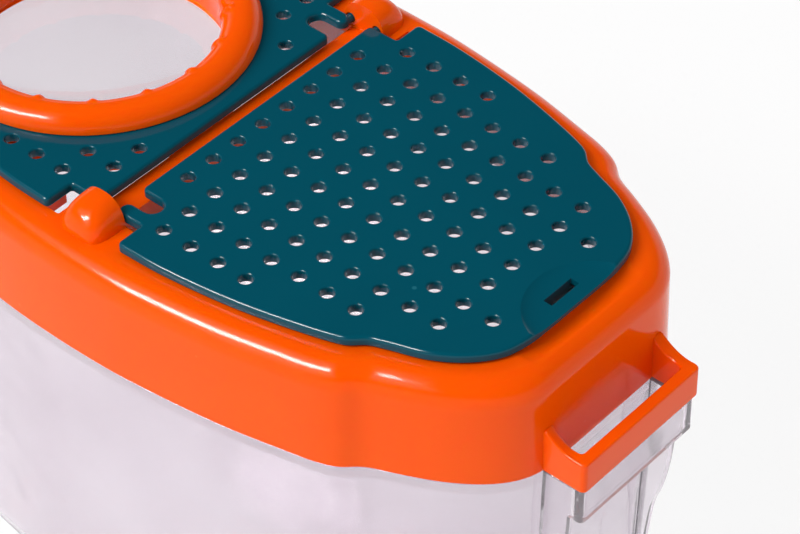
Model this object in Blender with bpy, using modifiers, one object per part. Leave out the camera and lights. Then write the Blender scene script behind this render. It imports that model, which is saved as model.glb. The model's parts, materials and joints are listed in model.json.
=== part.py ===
"""Insect observation jar: a clear tub, a collar with two hinged doors, and a lens in one door.

Metres, +Z up. X runs along the jar, the strap loops are at its two ends, and the doors
meet over x = 0. The base stands on z = 0. Heights given as "drop" are measured down from
the top face of the closed doors.
"""
import math

import bmesh
import bpy
from mathutils import Matrix

MM = 0.001

# Heights
DOOR_TOP = 84.0 * MM
DOOR_THICKNESS = 1.75 * MM
RUNNING_GAP = 0.3 * MM
COLLAR_HEIGHT = 20.8 * MM
DECK_THICKNESS = 2.1 * MM

# Collar plan, one quarter from mid length (x = 0) to the middle of the nose (y = 0)
COLLAR_QUARTER = [
    (0, 40.0), (14, 39.4), (30, 37.4), (41, 35.1), (45.3, 34.1), (49.1, 32.6), (51.7, 30.2),
    (57, 27.8), (62.9, 24.8), (67.8, 21.2), (70.6, 17.9), (72.1, 14.3), (72.4, 7.5), (72.4, 0)]
COLLAR_WALL_DRAFT = 0.25 * MM
WINDOW_OUTER = 33.4 * MM
SCOOP_X = 66.9 * MM
SCOOP_HALF_WIDTH = 2.4 * MM
SCOOP_HALF_LENGTH = 12.0 * MM
SCOOP_DEPTH = 1.2 * MM
SHOULDER_RADIUS = 4.2 * MM

# Door plan, one side from the notch at the boss to the middle of the nose
DOOR_SIDE = [
    (8.3, 34.1), (16, 33.8), (30, 31.9), (44.2, 28.3), (46.6, 27.3), (48.8, 25.4),
    (51.4, 24.3), (57.5, 22.0), (62.3, 18.6), (65.3, 14.6), (66.4, 10.4), (66.6, 5.5),
    (66.6, 0)]
DOOR_HEEL = 1.6 * MM
DOOR_EDGE_ROUND = 0.3 * MM
DOOR_CORNER = 0.9 * MM
DOOR_INNER_CORNER = 0.4 * MM
LEDGE_WIDTH = 2.9 * MM

# Hinges, latch and finger dish
HINGE_X = 2.75 * MM
HINGE_DROP = 0.88 * MM
PIN_RADIUS = 0.75 * MM
PIN_REACH = 1.7 * MM
PIN_CLEARANCE = 0.2 * MM
TONGUE_OUTER = 28.9 * MM
TONGUE_WIDTH = 2.6 * MM
TONGUE_SETBACK = 0.4 * MM
SLIT_WIDTH = 3.4 * MM
SLIT_END = 7.15 * MM
NOTCH_END = 7.3 * MM
PIN_ROOT = 1.2 * MM
PIN_SIDES = 14
LATCH_SLOT_X = 63.5 * MM
LATCH_SLOT_Y = 0.6 * MM
LATCH_SLOT = (1.6 * MM, 6.2 * MM)
HOOK_WIDTH = 5.2 * MM
HOOK_DEEP = 1.5 * MM
HOOK_BARB = 0.45 * MM
HOOK_LENGTH = 2.2 * MM
DISH_X = 69.85 * MM
DISH_RADIUS = 10.56 * MM
DISH_DEPTH = 0.8 * MM
DISH_SIDES = 36

# Air holes, on a square lattice
HOLE_PITCH = 5.5 * MM
HOLE_RADIUS = 1.05 * MM
HOLE_SIDES = 8
HOLE_FIRST_X = 0.94
HOLE_ROWS = [(-3, 4), (-5, 5), (-5, 5), (-5, 5), (-5, 5), (-4, 4), (-4, 4), (-4, 4),
             (-3, 3), (-3, 3)]
NOSE_HOLES = [(10.94, -2), (10.94, 2)]

# Lens ring, measured from its own centre, and lens
RING_X = 31.35 * MM
RING_RADIUS = 26.9 * MM
RING_INNER = 20.25 * MM
RING_CROWN = 3.3 * MM
BARREL_RADIUS = 24.0 * MM
BARREL_DEPTH = 9.6 * MM
RING_RIBS = 16
ROUND_SIDES = 36
RIB_SIZE = (1.75 * MM, 0.75 * MM, 0.6 * MM)
RIB_IN = 1.15 * MM
RIB_UP = 2.15 * MM
RIB_TILT = 50
LENS_POCKET_GAP = 0.35 * MM
LENS_LIP = 0.8 * MM
LENS_RADIUS = 21.6 * MM
LENS_EDGE = 2.2 * MM
LENS_BULGE = 1.7 * MM
LENS_DROP = 7.0 * MM

# Bosses, cross bar and strap loops
BOSS_INNER = 29.2 * MM
BOSS_OUTER = 36.4 * MM
BOSS_HALF_WIDTH = 5.0 * MM
BOSS_RISE = 3.2 * MM
BOSS_SPRING = 0.4 * MM
BOSS_CROWN_SHARE = 0.86
BOSS_END_ROUND = 2.2 * MM
BOSS_ROOT = 1.0 * MM
CROSSBAR_HALF = 2.3 * MM
CROSSBAR_DROP = (2.6 * MM, 8.5 * MM)
LOOP_OUTER = 79.75 * MM
LOOP_BAR = 2.05 * MM
LOOP_HALF = 13.75 * MM
LOOP_CHEEK = 1.9 * MM
LOOP_ROOT = 71.2 * MM
LOOP_CORNER = 0.9 * MM
LOOP_INNER_CORNER = 0.7 * MM
LOOP_EDGE_ROUND = 0.35 * MM
LOOP_DROP = (12.6 * MM, 15.1 * MM)

# Tub
TUB_WALL = 1.8 * MM
TUB_SETBACK = 0.4 * MM
TUB_DRAFT = 2.0 * MM
TUB_FOOT_ROUND = 4.0 * MM
TUB_RIM_SETBACK = 3.0 * MM
TUB_RIM_Z = 77.6 * MM
TUB_LOOP_OUTER = 79.3 * MM
TUB_LOOP_HEIGHT = 6.7 * MM
TUB_LOOP_EDGE_ROUND = 0.5 * MM
TUB_RIB = [(76.5, 56.2), (75.9, 47), (74.6, 40), (73.5, 36.5), (72.4, 28), (70.2, 10), (68.4, 5)]

LEDGE_Z = DOOR_TOP - DOOR_THICKNESS - RUNNING_GAP
LEDGE_NOSE_X = LATCH_SLOT_X + 0.2 * MM
HATCH_NARROW = BOSS_INNER - 0.1 * MM
HATCH_FLANK = BOSS_HALF_WIDTH + 0.4 * MM
COLLAR_FOOT_Z = DOOR_TOP - COLLAR_HEIGHT
HINGE_Z = DOOR_TOP - HINGE_DROP


def clear_scene():
    for thing in list(bpy.data.objects):
        bpy.data.objects.remove(thing, do_unlink=True)


def make_collection(name):
    group = bpy.data.collections.new(name)
    bpy.context.scene.collection.children.link(group)
    return group


def plastic(name, colour, roughness, alpha=1.0):
    material = bpy.data.materials.new(name)
    material.use_nodes = True
    shader = material.node_tree.nodes["Principled BSDF"]
    shader.inputs["Base Color"].default_value = (*colour, 1)
    shader.inputs["Roughness"].default_value = roughness
    shader.inputs["Metallic"].default_value = 0
    shader.inputs["Alpha"].default_value = alpha
    material.diffuse_color = (*colour, alpha)
    return material


def beyond(a, b):
    """The point as far past a as b is before it."""
    return (2 * a[0] - b[0], 2 * a[1] - b[1])


def smooth_line(points, steps, last=None):
    """Centripetal spline through the points, which runs on straight past its first point
    and, unless a last guide point is given, past its last one."""
    keys = [beyond(points[0], points[1])] + points + [last or beyond(points[-1], points[-2])]
    line = []
    for a, b, c, d in zip(keys, keys[1:], keys[2:], keys[3:]):
        t1 = math.dist(a, b) ** 0.5
        t2 = t1 + math.dist(b, c) ** 0.5
        t3 = t2 + math.dist(c, d) ** 0.5
        for k in range(steps):
            t = t1 + (t2 - t1) * k / steps
            line.append(tuple(blend(a, b, c, d, t, t1, t2, t3, axis) for axis in (0, 1)))
    return line + [points[-1]]


def blend(a, b, c, d, t, t1, t2, t3, axis):
    ab = (a[axis] * (t1 - t) + b[axis] * t) / t1
    bc = (b[axis] * (t2 - t) + c[axis] * (t - t1)) / (t2 - t1)
    cd = (c[axis] * (t3 - t) + d[axis] * (t - t2)) / (t3 - t2)
    abc = (ab * (t2 - t) + bc * t) / t2
    bcd = (bc * (t3 - t) + cd * (t - t1)) / (t3 - t1)
    return (abc * (t2 - t) + bcd * (t - t1)) / (t2 - t1)


def collar_plan(steps):
    """Closed outline of the collar, clockwise from (0, +y), in metres."""
    keys = COLLAR_QUARTER
    quarter = smooth_line(keys, steps, (keys[-2][0], -keys[-2][1]))
    quarter = [(x * MM, y * MM) for x, y in quarter]
    right = quarter + [(x, -y) for x, y in reversed(quarter[:-1])]
    return right + [(-x, y) for x, y in reversed(right[1:-1])]


def inset(outline, distance):
    """Move every point of a clockwise outline inward, square to the line there."""
    moved = []
    count = len(outline)
    for i, (x, y) in enumerate(outline):
        ax, ay = outline[i - 1]
        bx, by = outline[(i + 1) % count]
        length = math.hypot(bx - ax, by - ay)
        moved.append((x + (by - ay) / length * distance, y - (bx - ax) / length * distance))
    return moved


def arc(centre, radius, start, end, steps):
    """Points on an arc, from one angle to the other in degrees."""
    angles = [math.radians(start + (end - start) * k / steps) for k in range(steps + 1)]
    return [(centre[0] + radius * math.cos(a), centre[1] + radius * math.sin(a)) for a in angles]


def link(name, mesh, group, material=None):
    thing = bpy.data.objects.new(name, mesh)
    if material:
        mesh.materials.clear()
        mesh.materials.append(material)
    group.objects.link(thing)
    return thing


def hide_cutter(thing):
    thing.hide_render = True
    thing.display_type = "WIRE"
    return thing


def plate(name, outline, low, high, group, material=None):
    """Flat piece: a filled 2D outline, as thick as the two heights are apart."""
    flat = bpy.data.curves.new(name, "CURVE")
    flat.dimensions = "2D"
    flat.fill_mode = "BOTH"
    flat.extrude = (high - low) / 2
    spline = flat.splines.new("POLY")
    spline.points.add(len(outline) - 1)
    for point, (x, y) in zip(spline.points, outline):
        point.co = (x, y, 0, 1)
    spline.use_cyclic_u = True
    guide = bpy.data.objects.new(name, flat)
    group.objects.link(guide)
    solid = bpy.data.meshes.new_from_object(guide.evaluated_get(bpy.context.evaluated_depsgraph_get()))
    bpy.data.objects.remove(guide)
    work = bmesh.new()
    work.from_mesh(solid)
    bmesh.ops.remove_doubles(work, verts=work.verts, dist=0.01 * MM)
    bmesh.ops.dissolve_limit(work, angle_limit=math.radians(0.5), verts=work.verts, edges=work.edges)
    bmesh.ops.recalc_face_normals(work, faces=work.faces)
    bmesh.ops.translate(work, verts=work.verts, vec=(0, 0, (low + high) / 2))
    work.to_mesh(solid)
    work.free()
    return link(name, solid, group, material)


def slab(name, profile, low_y, high_y, group, material=None):
    """Extrusion along y of a profile given in x and z."""
    thing = plate(name, profile, -high_y, -low_y, group, material)
    thing.data.transform(Matrix.Rotation(math.radians(90), 4, "X"))
    return thing


def block(name, low, high, group):
    work = bmesh.new()
    bmesh.ops.create_cube(work, size=1)
    for vert in work.verts:
        vert.co = [(a + b) / 2 + c * (b - a) for a, b, c in zip(low, high, vert.co)]
    mesh = bpy.data.meshes.new(name)
    work.to_mesh(mesh)
    work.free()
    return link(name, mesh, group)


def turned(name, profile, steps, group, material=None, closed=True):
    """Turned piece: a profile in radius and height, swept about Z."""
    mesh = bpy.data.meshes.new(name)
    count = len(profile)
    edges = [(i, i + 1) for i in range(count - 1)]
    if closed:
        edges.append((count - 1, 0))
    mesh.from_pydata([(r, 0, z) for r, z in profile], edges, [])
    thing = link(name, mesh, group, material)
    screw = thing.modifiers.new("Turn", "SCREW")
    screw.steps = steps
    screw.render_steps = steps
    screw.use_merge_vertices = True
    screw.merge_threshold = 0.01 * MM
    screw.use_smooth_shade = True
    return thing


def rod(name, radius, start, end, sides, group):
    """Round bar along y, from one (x, y, z) to another y."""
    work = bmesh.new()
    length = abs(end - start[1])
    bmesh.ops.create_cone(work, cap_ends=True, segments=sides, radius1=radius, radius2=radius, depth=length)
    bmesh.ops.rotate(work, verts=work.verts, cent=(0, 0, 0), matrix=Matrix.Rotation(math.radians(90), 3, "X"))
    bmesh.ops.translate(work, verts=work.verts, vec=(start[0], (start[1] + end) / 2, start[2]))
    mesh = bpy.data.meshes.new(name)
    work.to_mesh(mesh)
    work.free()
    return link(name, mesh, group)


def disc(name, radius, depth, sides, group):
    """Upright cylinder about its own middle."""
    work = bmesh.new()
    bmesh.ops.create_cone(work, cap_ends=True, segments=sides, radius1=radius, radius2=radius, depth=depth)
    mesh = bpy.data.meshes.new(name)
    work.to_mesh(mesh)
    work.free()
    return link(name, mesh, group)


def combine(thing, other, operation):
    step = thing.modifiers.new(other.name, "BOOLEAN")
    step.operation = operation
    step.object = other
    step.solver = "EXACT"
    hide_cutter(other)


def round_edges(thing, width, segments, angle):
    bevel = thing.modifiers.new("Round", "BEVEL")
    bevel.width = width
    bevel.segments = segments
    bevel.limit_method = "ANGLE"
    bevel.angle_limit = math.radians(angle)
    bevel.use_clamp_overlap = True


def shell(name, outline, levels, wall, group, material):
    """Thin moulding: the outline carried through (inset, height) levels and closed over
    its last level, then thickened inward."""
    work = bmesh.new()
    distance, height = levels[0]
    ring = [work.verts.new((x, y, height)) for x, y in inset(outline, distance)]
    edges = [work.edges.new((a, b)) for a, b in zip(ring, ring[1:] + ring[:1])]
    for distance, height in levels[1:]:
        grown = bmesh.ops.extrude_edge_only(work, edges=edges)["geom"]
        edges = [part for part in grown if isinstance(part, bmesh.types.BMEdge) and len(part.link_faces) == 1]
        work.verts.index_update()
        ring = follow(ring, grown)
        for vert, (x, y) in zip(ring, inset(outline, distance)):
            vert.co = (x, y, height)
    bmesh.ops.edgeloop_fill(work, edges=edges)
    bmesh.ops.recalc_face_normals(work, faces=work.faces)
    mesh = bpy.data.meshes.new(name)
    work.to_mesh(mesh)
    work.free()
    thing = link(name, mesh, group, material)
    thicken = thing.modifiers.new("Wall", "SOLIDIFY")
    thicken.thickness = wall
    thicken.offset = -1
    thicken.use_even_offset = True
    return thing


def follow(ring, grown):
    """The new vertices of an extrusion, in the order of the ring that they came from."""
    fresh = {part for part in grown if isinstance(part, bmesh.types.BMVert)}
    return [next(edge.other_vert(vert) for edge in vert.link_edges if edge.other_vert(vert) in fresh)
            for vert in ring]


def door_plan():
    """Clockwise outline of a door whose heel is at +x of the hinge line of the jar."""
    keys = DOOR_SIDE
    side = smooth_line(keys, 2, (keys[-2][0], -keys[-2][1]))
    side = [(x * MM, y * MM) for x, y in side]
    corner = DOOR_CORNER
    inner_corner = DOOR_INNER_CORNER
    tongue = TONGUE_WIDTH / 2
    slit = SLIT_WIDTH / 2
    slit_y = TONGUE_OUTER - TONGUE_WIDTH - slit
    heel_y = slit_y - slit
    plan = arc((DOOR_HEEL + corner, -heel_y + corner), corner, 270, 180, 3)
    plan += arc((DOOR_HEEL + corner, TONGUE_OUTER - corner), corner, 180, 90, 3)
    plan += arc((NOTCH_END - inner_corner, TONGUE_OUTER + inner_corner), inner_corner, 270, 360, 2)
    plan += arc((NOTCH_END + corner, side[0][1] - corner), corner, 180, 90, 3)
    plan += side[1:]
    plan += [(x, -y) for x, y in reversed(side[1:-1])]
    plan += arc((NOTCH_END + corner, -side[0][1] + corner), corner, 270, 180, 3)
    plan += arc((NOTCH_END - inner_corner, -TONGUE_OUTER - inner_corner), inner_corner, 0, 90, 2)
    plan += arc((DOOR_HEEL + TONGUE_SETBACK + tongue, -TONGUE_OUTER + tongue), tongue, 270, 90, 8)
    plan += arc((SLIT_END - slit, -slit_y), slit, -90, 90, 8)
    return plan


def vent_holes():
    """Centres of the air holes of a full door, as lattice steps from the jar's middle."""
    holes = []
    for row, (first, last) in enumerate(HOLE_ROWS):
        holes += [(HOLE_FIRST_X + row, y) for y in range(first, last + 1)]
    return holes + NOSE_HOLES


def clears_ring(hole):
    """True for a hole of the lens door that the ring's flange leaves open."""
    reach = math.hypot(hole[0] * HOLE_PITCH - RING_X, hole[1] * HOLE_PITCH)
    return reach > RING_RADIUS + 2 * HOLE_RADIUS


def hole_cutter(name, holes, group):
    work = bmesh.new()
    for x, y in holes:
        place = Matrix.Translation((x * HOLE_PITCH, y * HOLE_PITCH, DOOR_TOP))
        bmesh.ops.create_cone(work, cap_ends=True, segments=HOLE_SIDES, radius1=HOLE_RADIUS,
                              radius2=HOLE_RADIUS, depth=4 * DOOR_THICKNESS, matrix=place)
    mesh = bpy.data.meshes.new(name)
    work.to_mesh(mesh)
    work.free()
    return link(name, mesh, group)


def dish_cutter(name, group):
    """Shallow round finger dish that runs out over the nose of a door."""
    ball = (DISH_RADIUS ** 2 + DISH_DEPTH ** 2) / (2 * DISH_DEPTH)
    bottom = DOOR_TOP - DISH_DEPTH
    steps = 7
    profile = []
    for k in range(steps + 1):
        radius = DISH_RADIUS * 1.05 * (1 - k / steps)
        profile.append((radius, bottom + ball - math.sqrt(ball ** 2 - radius ** 2)))
    profile = [(0, DOOR_TOP + 2 * MM), (profile[0][0], DOOR_TOP + 2 * MM)] + profile
    dish = turned(name, profile, DISH_SIDES, group, closed=False)
    dish.location = (DISH_X, 0, 0)
    return dish


def hook(name, group):
    """Snap hook under the nose: a tab with a barb that faces the ledge."""
    top = DOOR_TOP - DOOR_THICKNESS + 0.4 * MM
    under_ledge = LEDGE_Z - DECK_THICKNESS - RUNNING_GAP
    tip = under_ledge - HOOK_LENGTH
    outer = LATCH_SLOT_X - LATCH_SLOT[0] / 2
    inner = outer - HOOK_DEEP
    barb = outer + HOOK_BARB
    profile = [(inner, top), (outer, top), (outer, under_ledge + 0.2 * MM), (barb, under_ledge),
               (barb, under_ledge - 0.7 * MM), (outer - 0.2 * MM, tip),
               (inner + 0.5 * MM, tip), (inner, tip + 0.6 * MM)]
    return slab(name, profile, LATCH_SLOT_Y - HOOK_WIDTH / 2, LATCH_SLOT_Y + HOOK_WIDTH / 2, group)


def door(name, holes, group, cutters, material):
    """Door in place over the +x half, with its pins, latch slot, finger dish and holes.
    Returned with the tools that shape it."""
    panel = plate(name, door_plan(), DOOR_TOP - DOOR_THICKNESS, DOOR_TOP, group, material)
    round_edges(panel, DOOR_EDGE_ROUND, 1, 60)
    added = []
    for side, label in ((-1, "near"), (1, "far")):
        start = (HINGE_X, side * (TONGUE_OUTER - PIN_ROOT), HINGE_Z)
        end = side * (TONGUE_OUTER + PIN_REACH)
        added.append(rod(f"{name}_{label}_pin", PIN_RADIUS, start, end, PIN_SIDES, cutters))
    added.append(hook(name + "_hook", cutters))
    half_x, half_y = LATCH_SLOT[0] / 2, LATCH_SLOT[1] / 2
    low = (LATCH_SLOT_X - half_x, LATCH_SLOT_Y - half_y, DOOR_TOP - 2.2 * DOOR_THICKNESS)
    high = (LATCH_SLOT_X + half_x, LATCH_SLOT_Y + half_y, DOOR_TOP + MM)
    window = block(name + "_latch_window", low, high, cutters)
    taken = [dish_cutter(name + "_dish", cutters), hole_cutter(name + "_holes", holes, cutters), window]
    for tool in added:
        combine(panel, tool, "UNION")
    for tool in taken:
        combine(panel, tool, "DIFFERENCE")
    return panel, added + taken


def hang(pieces, name, end, group):
    """Carry the pieces, drawn over the +x half, on an empty on the hinge axis of one end."""
    axis = bpy.data.objects.new(name, None)
    axis.location = (end * HINGE_X, 0, HINGE_Z)
    axis.rotation_euler = (0, 0, 0 if end > 0 else math.pi)
    group.objects.link(axis)
    for piece in pieces:
        piece.parent = axis
        piece.matrix_parent_inverse = Matrix.Translation((-HINGE_X, 0, -HINGE_Z))


def lens_ring(group, cutters, material):
    """Bezel and barrel in one turned moulding, with grip ribs on its inner shoulder."""
    crown = (RING_RADIUS - RING_INNER) / 2
    middle = (RING_RADIUS + RING_INNER) / 2
    foot = RUNNING_GAP
    seat = RUNNING_GAP - LENS_DROP + LENS_EDGE / 2
    under = seat - LENS_EDGE - 2 * RUNNING_GAP
    pocket = LENS_RADIUS + LENS_POCKET_GAP
    lip = LENS_RADIUS - LENS_LIP
    profile = arc((middle, 0), crown, 8, 176, 10)
    profile = [(r, z / crown * RING_CROWN) for r, z in profile]
    profile += [(lip, seat), (pocket, seat), (pocket, under), (lip + 0.3 * MM, under - 0.3 * MM),
                (lip + 0.6 * MM, -BARREL_DEPTH), (BARREL_RADIUS, -BARREL_DEPTH), (BARREL_RADIUS, foot),
                (RING_RADIUS - 0.3 * MM, foot)]
    profile.reverse()
    ring = turned("lens_ring", profile, ROUND_SIDES, group, material)
    ring.location = (RING_X, 0, DOOR_TOP)
    work = bmesh.new()
    for k in range(RING_RIBS):
        place = Matrix.Rotation(2 * math.pi * k / RING_RIBS, 4, "Z")
        place = place @ Matrix.Translation((RING_INNER + RIB_IN, 0, RIB_UP))
        place = place @ Matrix.Rotation(math.radians(-RIB_TILT), 4, "Y")
        place = place @ Matrix.Diagonal((*RIB_SIZE, 1))
        bmesh.ops.create_uvsphere(work, u_segments=6, v_segments=3, radius=1, matrix=place)
    mesh = bpy.data.meshes.new("lens_ring_ribs")
    work.to_mesh(mesh)
    work.free()
    ribs = link("lens_ring_ribs", mesh, cutters)
    ribs.location = ring.location
    combine(ring, ribs, "UNION")
    return ring, ribs


def lens(group, material):
    """Magnifying lens, curved alike on both faces."""
    half = LENS_EDGE / 2
    steps = 4
    face = [(LENS_RADIUS * k / steps, half + LENS_BULGE * (1 - (k / steps) ** 2)) for k in range(steps + 1)]
    profile = face + [(r, -z) for r, z in reversed(face)]
    glass = turned("lens", profile, ROUND_SIDES, group, material, closed=False)
    glass.location = (RING_X, 0, DOOR_TOP - LENS_DROP)
    return glass


def hatch_plan(window_end):
    """Clockwise outline of the deck opening under a door of the +x half. At the hinge it
    is as wide as the bosses leave it, and beside one boss it goes out to a mould window."""
    keys = DOOR_SIDE[:-2]
    side = smooth_line(keys, 2, DOOR_SIDE[-2])
    edge = inset([(x * MM, y * MM) for x, y in side], LEDGE_WIDTH)[1:-1]
    edge = [(x, y) for x, y in edge if NOTCH_END + 1.5 * MM < x < LEDGE_NOSE_X - 0.5 * MM]
    edge.append((LEDGE_NOSE_X, edge[-1][1] - 2 * MM))
    half = {}
    for end in (1, -1):
        start = [(-MM, HATCH_NARROW), (NOTCH_END + 1.2 * MM, HATCH_NARROW)]
        if end == window_end:
            start = [(-MM, HATCH_NARROW), (HATCH_FLANK, HATCH_NARROW), (HATCH_FLANK, WINDOW_OUTER),
                     (NOTCH_END + 0.5 * MM, WINDOW_OUTER)]
        half[end] = [(x, end * y) for x, y in start + edge]
    return half[1] + half[-1][::-1]


def boss(name, end, group):
    """Hump that takes one pin of each door. Its crown and its outer end are well rounded."""
    half = BOSS_HALF_WIDTH
    foot = LEDGE_Z - BOSS_ROOT
    spring = DOOR_TOP + BOSS_SPRING
    turns = [math.radians(-80 + 20 * k) for k in range(9)]
    crown = [(BOSS_CROWN_SHARE * half * math.sin(a), spring + (BOSS_RISE - BOSS_SPRING) * math.cos(a))
             for a in turns]
    profile = [(-half, foot), (-half, LEDGE_Z + 0.5 * MM)] + crown + [(half, LEDGE_Z + 0.5 * MM), (half, foot)]
    low, high = sorted((end * BOSS_INNER, end * BOSS_OUTER))
    hump = slab(name, profile, low, high, group)
    work = bmesh.new()
    work.from_mesh(hump.data)
    close = 0.01 * MM
    outer = [edge for edge in work.edges
             if all(abs(vert.co.y - end * BOSS_OUTER) < close for vert in edge.verts)
             and max(vert.co.z for vert in edge.verts) > foot + close]
    bmesh.ops.bevel(work, geom=outer, offset=BOSS_END_ROUND, segments=4, profile=0.5, affect="EDGES")
    work.to_mesh(hump.data)
    work.free()
    return hump


def loop_plan(outer, half, bar, cheek):
    """Clockwise U outline of a strap loop, open toward the nose wall that it grows from."""
    corner = LOOP_CORNER
    inside = LOOP_INNER_CORNER
    plan = [(LOOP_ROOT, half)]
    plan += arc((outer - corner, half - corner), corner, 90, 0, 4)
    plan += arc((outer - corner, -half + corner), corner, 0, -90, 4)
    plan += [(LOOP_ROOT, -half), (LOOP_ROOT, -half + cheek)]
    plan += arc((outer - bar - inside, -half + cheek + inside), inside, -90, 0, 3)
    plan += arc((outer - bar - inside, half - cheek - inside), inside, 0, 90, 3)
    return plan + [(LOOP_ROOT, half - cheek)]


def turn_round(thing, end):
    """Place a piece drawn at the +x end at either end."""
    thing.rotation_euler = (0, 0, 0 if end > 0 else math.pi)


def collar_loop(end, cutters):
    """Strap loop of the collar: cheeks that sweep down from the nose to a level bar."""
    name = "collar_loop_" + ("right" if end > 0 else "left")
    cheek_top, bar_top = DOOR_TOP - LOOP_DROP[0], DOOR_TOP - LOOP_DROP[1]
    loop = plate(name, loop_plan(LOOP_OUTER, LOOP_HALF, LOOP_BAR, LOOP_CHEEK), COLLAR_FOOT_Z,
                 cheek_top + 0.5 * MM, cutters)
    wall_x = COLLAR_QUARTER[-1][0] * MM
    sweep = LOOP_OUTER - LOOP_BAR - wall_x - 0.4 * MM
    steps = 6
    hollow = [(wall_x + sweep * k / steps, bar_top + (cheek_top - bar_top) * (1 - k / steps) ** 2)
              for k in range(steps + 1)]
    above = [(LOOP_ROOT - MM, cheek_top)] + hollow + [(LOOP_OUTER + MM, bar_top), (LOOP_OUTER + MM, DOOR_TOP)]
    above.append((LOOP_ROOT - MM, DOOR_TOP))
    top = slab(name + "_top", above, -LOOP_HALF - MM, LOOP_HALF + MM, cutters)
    combine(loop, top, "DIFFERENCE")
    round_edges(loop, LOOP_EDGE_ROUND, 1, 50)
    turn_round(loop, end)
    turn_round(top, end)
    return hide_cutter(loop)


def finger_scoop(end, cutters):
    """Valley in the deck along the nose of a door, for a fingertip."""
    name = "scoop_" + ("right" if end > 0 else "left")
    radius = (SCOOP_HALF_WIDTH ** 2 + SCOOP_DEPTH ** 2) / (2 * SCOOP_DEPTH)
    work = bmesh.new()
    bmesh.ops.create_uvsphere(work, u_segments=20, v_segments=12, radius=radius,
                              matrix=Matrix.Rotation(math.radians(90), 4, "X"))
    for vert in work.verts:
        if abs(vert.co.y) > 0.01 * MM:
            vert.co.y += math.copysign(SCOOP_HALF_LENGTH - radius, vert.co.y)
    mesh = bpy.data.meshes.new(name)
    work.to_mesh(mesh)
    work.free()
    scoop = link(name, mesh, cutters)
    scoop.location = (end * SCOOP_X, 0, LEDGE_Z - SCOOP_DEPTH + radius)
    return scoop


def collar(group, cutters, material):
    """Collar with its deck, ledges, hinge bosses, cross bar and strap loops."""
    levels = [(0, COLLAR_FOOT_Z)]
    for k in range(5):
        angle = math.radians(22.5 * k)
        levels.append((COLLAR_WALL_DRAFT + SHOULDER_RADIUS * (1 - math.cos(angle)),
                       LEDGE_Z - SHOULDER_RADIUS * (1 - math.sin(angle))))
    body = shell("collar", collar_plan(2), levels, DECK_THICKNESS, group, material)
    for end in (1, -1):
        side = "right" if end > 0 else "left"
        hatch = plate("hatch_" + side, hatch_plan(1), LEDGE_Z - 3 * DECK_THICKNESS, DOOR_TOP, cutters)
        turn_round(hatch, end)
        combine(body, hatch, "DIFFERENCE")
        combine(body, finger_scoop(end, cutters), "DIFFERENCE")
    added = [boss("boss_far", 1, cutters), boss("boss_near", -1, cutters),
             collar_loop(1, cutters), collar_loop(-1, cutters),
             block("crossbar", (-CROSSBAR_HALF, -BOSS_INNER - 2 * MM, DOOR_TOP - CROSSBAR_DROP[1]),
                   (CROSSBAR_HALF, BOSS_INNER + 2 * MM, DOOR_TOP - CROSSBAR_DROP[0]), cutters)]
    for tool in added:
        combine(body, tool, "UNION")
    for x_end in (1, -1):
        for y_end in (1, -1):
            start = (x_end * HINGE_X, y_end * (BOSS_INNER - MM), HINGE_Z)
            reach = y_end * (TONGUE_OUTER + PIN_REACH + RUNNING_GAP)
            hole = rod(f"pin_hole_{x_end}_{y_end}", PIN_RADIUS + PIN_CLEARANCE, start, reach,
                       PIN_SIDES, cutters)
            combine(body, hole, "DIFFERENCE")
    return body


def tub_loop(end, cutters):
    """Loop of the tub under the collar's loop, with a long tapering rib under each cheek."""
    side = "right" if end > 0 else "left"
    top = COLLAR_FOOT_Z - RUNNING_GAP
    foot = top - TUB_LOOP_HEIGHT
    half = LOOP_HALF - TUB_SETBACK
    cheek = LOOP_CHEEK - TUB_SETBACK
    plan = loop_plan(TUB_LOOP_OUTER, half, LOOP_BAR, cheek)
    loop = plate("tub_loop_" + side, plan, foot, top, cutters)
    round_edges(loop, TUB_LOOP_EDGE_ROUND, 1, 50)
    pieces = [hide_cutter(loop)]
    front = smooth_line(TUB_RIB, 2)
    front = [(x * MM, z * MM) for x, z in front]
    profile = [(LOOP_ROOT, foot + MM), (front[0][0], foot + MM)] + front + [(LOOP_ROOT - 2 * MM, front[-1][1])]
    for y_end in (1, -1):
        low, high = sorted((y_end * (half - cheek), y_end * half))
        pieces.append(slab(f"tub_rib_{side}_{y_end}", profile, low, high, cutters))
    for piece in pieces:
        turn_round(piece, end)
    return pieces


def tub(group, cutters, material):
    """Clear tub: a rim that slides up inside the collar, a shoulder under it and a drafted
    wall down to a rounded foot."""
    shoulder = COLLAR_FOOT_Z - RUNNING_GAP
    levels = [(TUB_RIM_SETBACK, TUB_RIM_Z), (TUB_RIM_SETBACK, shoulder), (TUB_SETBACK, shoulder)]
    low_inset = TUB_SETBACK + TUB_DRAFT
    for k in range(4):
        angle = math.radians(30 * k)
        levels.append((low_inset + TUB_FOOT_ROUND * (1 - math.cos(angle)),
                       TUB_FOOT_ROUND * (1 - math.sin(angle))))
    body = shell("tub", collar_plan(1), levels, TUB_WALL, group, material)
    for end in (1, -1):
        for piece in tub_loop(end, cutters):
            combine(body, piece, "UNION")
    return body


def soften(thing, angle):
    """Smooth shading that keeps the creases sharper than the angle."""
    thing.data.shade_smooth()
    thing.data.set_sharp_from_angle(angle=math.radians(angle))


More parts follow.
